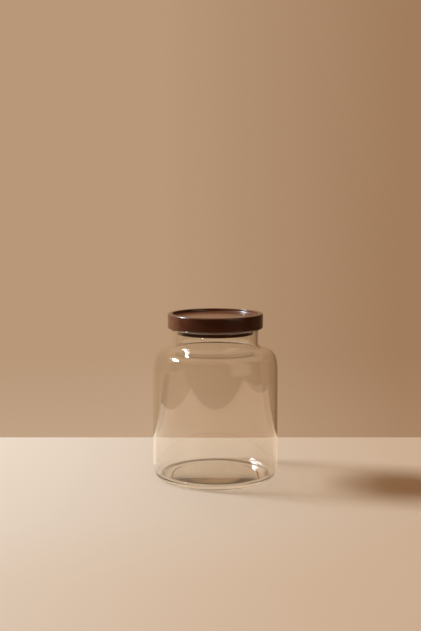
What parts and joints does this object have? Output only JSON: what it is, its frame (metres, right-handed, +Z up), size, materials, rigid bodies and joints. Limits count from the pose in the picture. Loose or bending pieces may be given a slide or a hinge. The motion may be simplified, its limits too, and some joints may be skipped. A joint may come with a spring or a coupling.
{
  "type": "glass storage jar",
  "caption": "Round clear glass storage jar with a wide straight neck and a dark turned wood lid, which plugs the neck with a soft seal ring and has a shallow tray in its top.",
  "frame": {"origin": "centre of the surface that the standing ring rests on", "axes": "+Z up along the axis of the jar and the lid; X and Y are free, because every piece is round"},
  "size_m": [0.13, 0.13, 0.1706],
  "materials": {
    "clear_glass": "clear, fire-polished",
    "dark_wood": "turned and oiled, satin",
    "silicone": "translucent, satin"
  },
  "bodies": {
    "jar": {"glass_jar": "clear_glass"},
    "lid": {"wood_lid": "dark_wood", "seal_ring": "silicone"}
  },
  "joints": [
    {"name": "lid_lift", "type": "slide", "parent": "jar", "child": "lid", "axis": [0, 0, 1], "range_m": [0, 0.06]}
  ]
}
